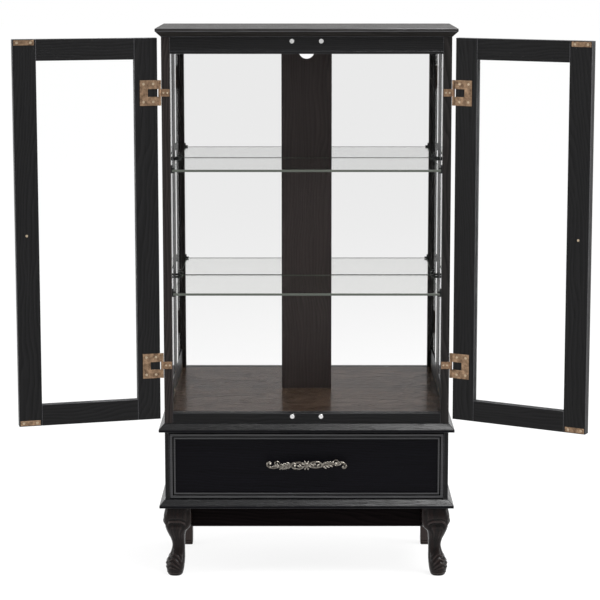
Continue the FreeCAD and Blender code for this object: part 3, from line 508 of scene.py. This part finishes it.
def leg_relief(height, across):
    """Carving in millimetres, outwards; across runs from -1 at a face's inner edge to 1 at its outer."""
    # the knee's lid: a lip over a hollow
    lid = 121.0 - 7.0 * max(0.0, abs(across - 0.05) - 0.25) ** 2 / 0.2
    over = height - lid
    window = 1 - smooth_step(abs(across - 0.02), 0.5, 0.74)
    relief = 0.0
    if over > 0:
        relief += 1.5 * hump(over, 3.4, 3.9) - 1.1 * hump(over, 8.4, 2.2)
    else:
        relief -= 4.2 * smooth_step(over, -14, -0.4) * (1 - smooth_step(over, -0.5, 0.0) * 0.4)
    relief *= window
    # fine ribs fan down from under the lid
    ribs = plateau(height, 78, 88, 100, 110) * (1 - smooth_step(abs(across), 0.45, 0.7))
    relief += 0.45 * math.cos(across * 22) * ribs
    # the knee's wing: a crease down the inner third
    crease = -0.72 + 0.22 * smooth_step(height, 128, 98)
    relief -= 1.3 * hump(across, crease, 0.16) * plateau(height, 92, 104, 147, 154)
    relief += 0.7 * hump(across, -0.9, 0.2) * smooth_step(height, 96, 110)
    # a leaf folds over the outer half of the foot
    leaf = height + 15 * abs(across - 0.35) ** 1.5
    lobes = plateau(height, 13, 18, 44, 52) * smooth_step(across, -0.75, -0.2)
    relief += 0.75 * math.cos(leaf * 2 * math.pi / 9.5) * lobes
    # fine lines round the sole
    relief -= 0.8 * hump(height, 9.6, 1.6)
    relief -= 0.7 * hump(height, 4.6, 1.3)
    relief += 0.8 * hump(height, 7.0, 2.2)
    return relief


def front_leg(side, word, material):
    node = f"front_leg_{word}"
    sole = end_centre(node, Vector((0, 0, -1)))
    sole_shift = LEG_STATIONS[0][2] * MM
    centre_x = sole.x - side * sole_shift
    centre_y = sole.y + sole_shift
    rings = []
    for height, half, shift, power in spline_points(LEG_STATIONS, LEG_STEPS):
        ring = []
        for index in range(LEG_RING):
            turn = 2 * math.pi * index / LEG_RING
            unit_x = math.copysign(abs(math.cos(turn)) ** (2 / power), math.cos(turn))
            unit_y = math.copysign(abs(math.sin(turn)) ** (2 / power), math.sin(turn))
            # unit_x points outwards and unit_y forwards
            if unit_y >= unit_x:
                across, facing = unit_x, unit_y
            else:
                across, facing = unit_y, unit_x
            # the knee reaches further in, towards the apron
            wing = WING * side * smooth_step(-unit_x, 0.3, 0.9) * smooth_step(height, 99, 112)
            facing_share = smooth_step(facing, 0.55, 0.9)
            relief = leg_relief(height, across) * facing_share
            scale = (half + relief) / half
            ring.append((centre_x - wing + side * (shift + half * unit_x * scale) * MM,
                         centre_y - (shift + half * unit_y * scale) * MM,
                         sole.z + height * MM))
        rings.append(ring)
    work = bmesh.new()
    rings_mesh(work, rings)
    name = f"{node}_carved"
    finish_piece(name, mesh_from(work, name), node, material, 60)


# ---------------------------------------------------------------- drawer pull

TUBE_SIDES = 16


def tube(work, path, flatten):
    """Tube along (x, y, z, radius) points in millimetres, lying mostly in a plane of constant y."""
    rings = []
    for index, (x, y, z, radius) in enumerate(path):
        before = path[max(0, index - 1)]
        after = path[min(len(path) - 1, index + 1)]
        along = Vector((after[0] - before[0], after[1] - before[1], after[2] - before[2])).normalized()
        across = along.cross(Vector((0, 1, 0))).normalized()
        out = across.cross(along).normalized()
        middle = Vector((x, y, z))
        rings.append([middle + u * across + flatten * v * out for u, v in circle(radius, TUBE_SIDES)])
    rings_mesh(work, rings)


def blob(work, centre, size, tilt=0.0):
    """Ellipsoid in millimetres, tilted in the pull's plane."""
    matrix = (Matrix.Translation(centre) @ Matrix.Rotation(tilt, 4, "Y")
              @ Matrix.Diagonal((*size, 1)))
    bmesh.ops.create_icosphere(work, subdivisions=3, radius=1, matrix=matrix)


# all in millimetres: x outwards from the middle, y, z upwards, radius
PULL_PLANE = -148.0
STEM = ((0, -1.5, 0, 3.2), (9, 0, -3.2, 3.1), (19, 1.0, -5.2, 2.7), (29, 0.5, -4.0, 2.6),
        (37, 0, -0.5, 2.8), (48, 0, 2.0, 3.0), (60, 0, 3.0, 3.4), (70, 0, 5.6, 3.0), (78, 0, 5.2, 2.6),
        (84, 0, 1.4, 2.4),
        (85, 0, -3.6, 2.3), (81.2, 0, -6.6, 2.1), (77.6, 0, -4.8, 1.9), (78.2, 0, -2.4, 1.8))
SCROLL = ((6, -1.2, 4.2, 1.8), (14, -1.5, 7.2, 2.1), (23, -1.5, 7.8, 2.2), (30, -1.2, 5.0, 2.2),
          (33, -1.0, 0.4, 2.1), (30, -1.0, -3.2, 1.9), (25, -1.2, -3.0, 1.7), (23.4, -1.5, 0.2, 1.7),
          (26.2, -1.8, 1.8, 1.9))
# leaflets along the arm: place, length, tilt in degrees
LEAFLETS = ((37, 4.4, 5.2, -42), (42, 5.6, 5.4, -34), (48, 6.6, 5.4, -26), (39, -4.6, 5.0, 30),
            (45, -2.8, 5.2, 24), (52, -1.4, 5.2, 18), (55, 6.9, 4.8, -18), (66, 0.6, 4.4, -30),
            (71, 1.6, 4.2, -24), (13, 0.6, 4.6, 28), (17, 2.4, 4.4, 24))
PETALS = 8
PETAL_REACH = 6.6
# the posts: y and radius of each ring, and how far they stand from the middle
PULL_POST = ((-128.0, 6.4), (-129.2, 6.4), (-130.4, 5.0), (-134, 3.6), (-140, 3.3), (-146, 4.2))
POST_REACH = 64
POST_RISE = 1.5


def pull_half(work, flip):
    """One end of the pull; the other is the same turned half round about its middle."""
    sign = -1 if flip else 1

    def placed(path):
        return [(sign * x, PULL_PLANE + y, sign * z, radius) for x, y, z, radius in path]

    tube(work, placed(spline_points(STEM, 6)), 0.85)
    tube(work, placed(spline_points(SCROLL, 6)), 0.9)
    for x, z, length, tilt in LEAFLETS:
        blob(work, (sign * x, PULL_PLANE - 1.6, sign * z), (length, 1.6, 1.7), math.radians(tilt))
    blob(work, (sign * 62.5, PULL_PLANE - 1.4, sign * 2.6), (3.4, 4.0, 4.4))
    blob(work, (sign * 78.6, PULL_PLANE - 0.6, sign * -3.0), (2.6, 2.6, 2.6))
    blob(work, (sign * 26.0, PULL_PLANE - 2.4, sign * 1.0), (2.3, 2.0, 2.3))


def drawer_pull(material):
    low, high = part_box("drawer_pull")
    middle = (low + high) / 2
    work = bmesh.new()
    for flip in (False, True):
        pull_half(work, flip)
    blob(work, (0, PULL_PLANE - 2.0, 0), (6.0, 4.6, 6.4))
    for petal in range(PETALS):
        turn = 2 * math.pi * (petal + 0.5) / PETALS
        place = (PETAL_REACH * math.cos(turn), PULL_PLANE - 2.2, PETAL_REACH * math.sin(turn))
        blob(work, place, (4.4, 2.2, 1.9), -turn)
    for side in (-1, 1):
        rings = []
        for y, radius in PULL_POST:
            rings.append([(side * POST_REACH + u, y, side * POST_RISE + v) for u, v in circle(radius, 24)])
        rings_mesh(work, rings)
    bmesh.ops.transform(work, verts=work.verts,
                        matrix=Matrix.Translation((0, 0, middle.z)) @ Matrix.Scale(MM, 4))
    rough = bpy.data.objects.new("pull_rough", mesh_from(work, "pull_rough"))
    bpy.context.scene.collection.objects.link(rough)
    remesh = rough.modifiers.new("melt", "REMESH")
    remesh.mode = "VOXEL"
    remesh.voxel_size = 0.42 * MM
    soften = rough.modifiers.new("soften", "SMOOTH")
    soften.iterations = 2
    soften.factor = 0.5
    evaluated = rough.evaluated_get(bpy.context.evaluated_depsgraph_get())
    mesh = bpy.data.meshes.new_from_object(evaluated)
    bpy.data.objects.remove(rough)
    finish_piece("drawer_pull_casting", mesh, "drawer_pull", material, 80)


# ---------------------------------------------------------------- knobs and screws

KNOB_PROFILE = ((0, 9.0), (1.2, 9.0), (1.9, 8.2), (3.2, 6.6), (5.0, 4.7), (8.0, 4.0), (10.5, 4.9),
                (13.0, 8.2), (15.4, 11.0), (18.2, 12.3), (21.2, 11.6), (23.8, 9.2), (25.6, 6.0),
                (26.4, 3.0), (26.6, 0.6))
ROUND_SIDES = 48


def ring_at(base, matrix, reach, radius):
    """Points of a ring round an axis, at (reach, radius) in millimetres from base."""
    return [base + matrix @ Vector((u, v, reach)) * MM for u, v in circle(radius, ROUND_SIDES)]


def turned(work, base, axis, profile):
    """Round solid about an axis from base; profile holds (distance, radius) in millimetres."""
    matrix = axis.to_track_quat("Z", "Y").to_matrix()
    rings_mesh(work, [ring_at(base, matrix, reach, radius) for reach, radius in profile])


def door_outward(word):
    """Where the door's outer face looks at rest."""
    return Matrix.Rotation(BODY_TURN[f"{word}_door"], 3, "Z") @ FRONT


def knob(word, material):
    node = f"{word}_knob"
    outward = door_outward(word)
    base = end_centre(node, -outward)
    profile = spline_points(KNOB_PROFILE, 3)
    work = bmesh.new()
    turned(work, base, outward, profile)
    name = f"{node}_turned"
    finish_piece(name, mesh_from(work, name), node, material, 50)


HEAD_RINGS = 12
# as shares of the head's radius: half an arm's width, the recess's depth, how far the head is domed
ARM_HALF = 0.17
RECESS = 0.26
DOME = 0.08


def cross_head(work, centre, facing, radius, cross, body):
    """Domed screw head with a cross recess at centre; body holds (distance, radius) behind the head."""
    matrix = facing.to_track_quat("Z", "Y").to_matrix()
    rings = []
    for step in range(1, HEAD_RINGS + 1):
        reach = radius * step / HEAD_RINGS
        ring = []
        for x, y in circle(reach, ROUND_SIDES):
            arm = min(abs(x), abs(y)) < ARM_HALF * radius and max(abs(x), abs(y)) < cross * radius
            height = -DOME * radius * (reach / radius) ** 2 - (RECESS * radius if arm else 0)
            ring.append(centre + matrix @ Vector((x, y, height)) * MM)
        rings.append(ring)
    rings.extend(ring_at(centre, matrix, -reach, size) for reach, size in body)
    rings_mesh(work, rings)


def screws(node, facing, material):
    """Every screw of a node, with its real head and a pointed shank."""
    work = bmesh.new()
    for points in islands(node):
        head = end_centre(node, facing, points)
        reach = [(head - point).dot(facing) / MM for point in points]
        spread = [((head - point) - facing * (head - point).dot(facing)).length / MM for point in points]
        length, radius = max(reach), max(spread)
        shank = min(spread)
        body = ((0.28 * radius, radius), (0.4 * radius, shank), (length - 2, shank), (length - 0.2, 0.3))
        cross_head(work, head, facing, radius, 0.62, body)
    name = f"{node}_turned"
    finish_piece(name, mesh_from(work, name), node, material, 40)


def cam_locks(material):
    work = bmesh.new()
    for points in islands("cam_locks"):
        centre = sum(points, Vector()) / len(points)
        facing = Vector((-math.copysign(1, centre.x), 0, 0))
        head = end_centre("cam_locks", facing, points)
        cross_head(work, head, facing, 7.4, 0.5, ((1.0, 7.4), (6.8, 7.4)))
    finish_piece("cam_locks_slotted", mesh_from(work, "cam_locks_slotted"), "cam_locks", material)


MAGNET_PROFILE = ((-8, 4.6), (-7.6, 5), (0, 5), (0.28, 4.75), (0.28, 4.1), (0.0, 3.95), (0.0, 3.6),
                  (0.22, 3.4), (0.22, 0.4))
# the rim stands this far in front of the profile's start
MAGNET_RIM = 0.3 * MM


def magnets(material):
    """Cup magnets: a steel rim round the magnet's face."""
    work = bmesh.new()
    for points in islands("catch_magnets"):
        face = end_centre("catch_magnets", FRONT, points)
        turned(work, face - FRONT * MAGNET_RIM, FRONT, MAGNET_PROFILE)
    finish_piece("catch_magnets_cupped", mesh_from(work, "catch_magnets_cupped"), "catch_magnets", material)


# heights in millimetres and how far the foot of a rear leg is cut back there
REAR_FOOT = ((0, 1.6), (1.2, 0.4), (3.4, 0.4), (3.8, 1.5), (4.8, 1.5), (5.2, 0.2), (8.4, 0.2), (8.8, 1.3),
             (9.8, 1.3), (10.2, 0.0))
REAR_EASING = 1.2 * MM


def rear_leg(word, material):
    """Square leg with two fine grooves round its foot."""
    node = f"rear_leg_{word}"
    low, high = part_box(node)
    top = (high.z - low.z) / MM
    rings = []
    for height, inset in (*REAR_FOOT, (top, 0.0)):
        ring = []
        for across, along in ((1, 1), (-1, 1), (-1, -1), (1, -1)):
            corner_x = high.x if across > 0 else low.x
            corner_y = high.y if along > 0 else low.y
            corner = Vector((corner_x - across * inset * MM, corner_y - along * inset * MM, 0))
            step_x = Vector((-across * REAR_EASING, 0, 0))
            step_y = Vector((0, -along * REAR_EASING, 0))
            pair = (step_y, step_x) if across == along else (step_x, step_y)
            for step in pair:
                ring.append(corner + step + Vector((0, 0, low.z + height * MM)))
        rings.append(ring)
    work = bmesh.new()
    rings_mesh(work, rings)
    finish_piece(f"{node}_footed", mesh_from(work, f"{node}_footed"), node, material)


# ---------------------------------------------------------------- finishes

BLACK_DARK = (0.002, 0.002, 0.0022, 1)
BLACK_LIGHT = (0.0085, 0.0083, 0.0088, 1)
BROWN_DARK = (0.006, 0.005, 0.0045, 1)
BROWN_LIGHT = (0.02, 0.016, 0.014, 1)
LEG_DARK = (0.0012, 0.0007, 0.0006, 1)
LEG_LIGHT = (0.0075, 0.0036, 0.0031, 1)
# colour of the painted highlight on the front legs' carved ridges
LEG_RIDGE_HIGHLIGHT = (0.03, 0.022, 0.02, 1)
PALE_DARK = (0.32, 0.22, 0.13, 1)
PALE_LIGHT = (0.55, 0.42, 0.28, 1)


# boards whose tone differs: dark and light of the grain, how strongly the coat shines, how rough it is
TONES = {
    # the drawer front and the apron are darker than the other boards as painted shade: less light reaches them low
    # down, under the waist and base boards
    "drawer_front": ((0.0006, 0.0005, 0.001, 1), (0.0024, 0.0022, 0.0042, 1), 0.07, 0.3),
    "front_apron": ((0.0012, 0.0007, 0.0008, 1), (0.0042, 0.0026, 0.0028, 1), 0.02, 0.3),
    # the display floor is a lighter brown than the other black boards: a painted reflection of the mirrors' light,
    # on top of its real gloss
    "display_floor": ((0.012, 0.0075, 0.0055, 1), (0.04, 0.026, 0.019, 1), 0.06, 0.02),
    "back_centre_board": ((0.011, 0.0078, 0.0073, 1), (0.022, 0.0168, 0.016, 1), 0.14, 0.3),
    # the left front post is a lighter tone than the right one: painted light
    "front_post_left": ((0.005, 0.0037, 0.0035, 1), (0.024, 0.0185, 0.0175, 1), 0.13, 0.3),
    "front_post_right": ((0.004, 0.0034, 0.0032, 1), (0.019, 0.0165, 0.016, 1), 0.13, 0.3),
    "rear_stile_left": ((0.006, 0.0046, 0.0044, 1), (0.02, 0.016, 0.015, 1), 0.14, 0.3),
    "rear_stile_right": ((0.006, 0.0046, 0.0044, 1), (0.02, 0.016, 0.015, 1), 0.14, 0.3),
    "top_board": ((0.006, 0.0052, 0.0048, 1), (0.019, 0.017, 0.0155, 1), 0.13, 0.3),
    "waist_board": ((0.0012, 0.0012, 0.0014, 1), (0.0045, 0.0045, 0.005, 1), 0.26, 0.14),
    "base_board": ((0.0012, 0.0012, 0.0016, 1), (0.0045, 0.0045, 0.0055, 1), 0.26, 0.14),
}


def black_wood(node, grain, number):
    """Each board has its own stretch of the grain."""
    offset = (0.37 * number, 0.05 * math.sin(number), 0.04 * math.cos(2 * number))
    turn = BODY_TURN.get(BODY_OF[node], 0.0)
    dark, light, level, sheen = TONES.get(node, (BLACK_DARK, BLACK_LIGHT, 0.13, 0.3))
    return wood(f"{node}_wood", grain, dark, light, sheen, level, turn, offset)


# the display floor's coat tints what it mirrors
FLOOR_GLOSS = (1.0, 0.8, 0.72, 1)
UPRIGHT_WORDS = ("_stile", "front_post", "rear_stile", "back_centre_board")
DEEP_NODES = ("side_top_rails", "side_bottom_rails", "lower_side_left", "lower_side_right",
              "drawer_runners", "drawer_side_left", "drawer_side_right")


def grain_of(node):
    if any(word in node for word in UPRIGHT_WORDS):
        return "z"
    if node in DEEP_NODES:
        return "y"
    return "x"


# weaker than real glass: the shelves hardly mirror anything
SHELF_INDEX = 1.12


def finishes():
    """Give every CAD node its material, by its slot in the record."""
    shared = {
        "clear_glass": clear_glass("clear_glass", (0.72, 0.88, 0.8, 1), 6.0),
        "mirror_glass": mirror(),
        "antique_brass": metal("antique_brass", (0.33, 0.22, 0.14, 1), (0.11, 0.07, 0.045, 1), 0.3, 120,
                               0.0001),
        "antique_cast_metal": metal("antique_cast_metal", (0.96, 0.9, 0.8, 1), (0.04, 0.033, 0.028, 1),
                                    0.15, 160, 0.0001, True),
        "magnet_steel": metal("magnet_steel", (0.75, 0.75, 0.74, 1), (0.5, 0.5, 0.5, 1), 0.2, 300, 0.00005),
        "clip_metal": metal("clip_metal", (0.05, 0.05, 0.05, 1), (0.02, 0.02, 0.02, 1), 0.35, 300, 0.0001),
        "fastener_steel": metal("fastener_steel", (0.85, 0.72, 0.56, 1), (0.4, 0.32, 0.22, 1), 0.22, 400,
                                0.00005, True),
    }
    own = {
        "case_hinge_leaves": metal("aged_copper", (0.31, 0.2, 0.125, 1), (0.13, 0.08, 0.052, 1), 0.32, 120,
                                   0.0001),
        "upper_glass_shelf": clear_glass("shelf_glass", (0.5, 0.6, 0.48, 1), 2.5, SHELF_INDEX,
                                         (1.0, 1.0, 0.985, 1)),
    }
    own["lower_glass_shelf"] = own["upper_glass_shelf"]
    given = {}
    for number, (name, piece) in enumerate(sorted(NODES.items())):
        slot = SLOT_OF[name]
        offset = (0.41 * number, 0, 0)
        if name in own:
            material = own[name]
        elif slot == "black_grained_wood":
            material = black_wood(name, grain_of(name), number)
        elif slot == "drawer_box_wood":
            material = wood(f"{name}_wood", grain_of(name), PALE_DARK, PALE_LIGHT, 0.4, 0.4, 0, offset, 0.5)
        elif slot == "dark_leg_wood":
            material = wood(f"{name}_wood", "z", LEG_DARK, LEG_LIGHT, 0.12, 0.15, 0, offset, 0.5, LEG_RIDGE_HIGHLIGHT)
        elif slot == "hardboard":
            material = wood(f"{name}_wood", "z", BROWN_DARK, BROWN_LIGHT, 0.55, 0.3, 0, offset, 0.4)
        else:
            material = shared[slot]
        if name == "display_floor":
            material.node_tree.nodes["Principled BSDF"].inputs["Specular Tint"].default_value = FLOOR_GLOSS
        piece.data.materials.clear()
        piece.data.materials.append(material)
        given[name] = material
    return given


# how far edges are rounded over, in millimetres
EASING = {
    "top_board": 1.2, "waist_board": 1.2, "base_board": 1.2, "display_floor": 0.5,
    "header_rail": 0.4, "face_bottom_rail": 0.4, "front_post_left": 0.6, "front_post_right": 0.6,
    "rear_stile_left": 0.6, "rear_stile_right": 0.6, "side_top_rails": 0.5, "side_bottom_rails": 0.5,
    "lower_side_left": 0.6, "lower_side_right": 0.6, "front_apron": 1.0, "back_centre_board": 0.5,
    "drawer_front": 0.9, "drawer_side_left": 0.8, "drawer_side_right": 0.8, "drawer_back": 0.8,
    "drawer_runners": 0.8, "back_panel": 0.4, "upper_glass_shelf": 0.7, "lower_glass_shelf": 0.7,
    "shelf_clips": 0.3, "case_hinge_leaves": 0.25,
}
DOOR_EASING = {
    "hinge_stile": 0.6, "meeting_stile": 0.6, "bottom_rail": 0.5, "top_rail": 0.5,
    "hinge_leaves": 0.25, "strike_plates": 0.2,
}


camera()
studio()
material_of = finishes()
for word in ("left", "right"):
    for part, width in DOOR_EASING.items():
        EASING[f"{word}_{part}"] = width
# lighter, glossier copies of the black wood: painted highlights on rounded edges and on the drawer beads' crests
edge_highlight = wood("rubbed_edge_wood", "x", (0.02, 0.02, 0.023, 1), (0.065, 0.065, 0.07, 1), 0.2, 0.4)
bead_highlight = wood("rubbed_bead_wood", "x", (0.012, 0.012, 0.013, 1), (0.032, 0.032, 0.035, 1), 0.2, 0.4)
# near-black matt paint for the drawer beads' steep sides and groove: painted shade
painted_shade_black, _ = new_material("painted_shade_black", {
    "Base Color": (0.0012, 0.0012, 0.0013, 1), "Roughness": 0.9, "Specular IOR Level": 0.0})
shelf_rim, _ = new_material("shelf_rim", {
    "Base Color": (0.06, 0.068, 0.056, 1), "Roughness": 0.25, "Specular IOR Level": 0.4})
# further materials and paint of the pieces whose edges don't simply take the painted edge highlight
EDGING = {
    "drawer_front": ((bead_highlight, painted_shade_black), bead_paint),
    # the boards' upright lips take the drawer front's darker wood: painted shade
    "waist_board": ((material_of["waist_board"], material_of["drawer_front"]), lip_paint),
    "base_board": ((material_of["base_board"], material_of["drawer_front"]), lip_paint),
    "upper_glass_shelf": ((shelf_rim,), rim_paint),
    "lower_glass_shelf": ((shelf_rim,), rim_paint),
}
for name, width in EASING.items():
    # black wood takes the lighter edge wood on its rounded edges: a painted highlight
    wear_and_highlight = (edge_highlight,) if SLOT_OF[name] == "black_grained_wood" else ()
    further, paint = EDGING.get(name, (wear_and_highlight, crest_paint))
    eased(name, width * MM, material_of[name], further, paint)
for side, word in ((-1, "left"), (1, "right")):
    front_leg(side, word, material_of[f"front_leg_{word}"])
    rear_leg(word, material_of[f"rear_leg_{word}"])
    knob(word, material_of[f"{word}_knob"])
    screws(f"{word}_door_screws", -door_outward(word), material_of[f"{word}_door_screws"])
screws("case_hinge_screws", FRONT, material_of["case_hinge_screws"])
drawer_pull(material_of["drawer_pull"])
cam_locks(material_of["cam_locks"])
magnets(material_of["catch_magnets"])
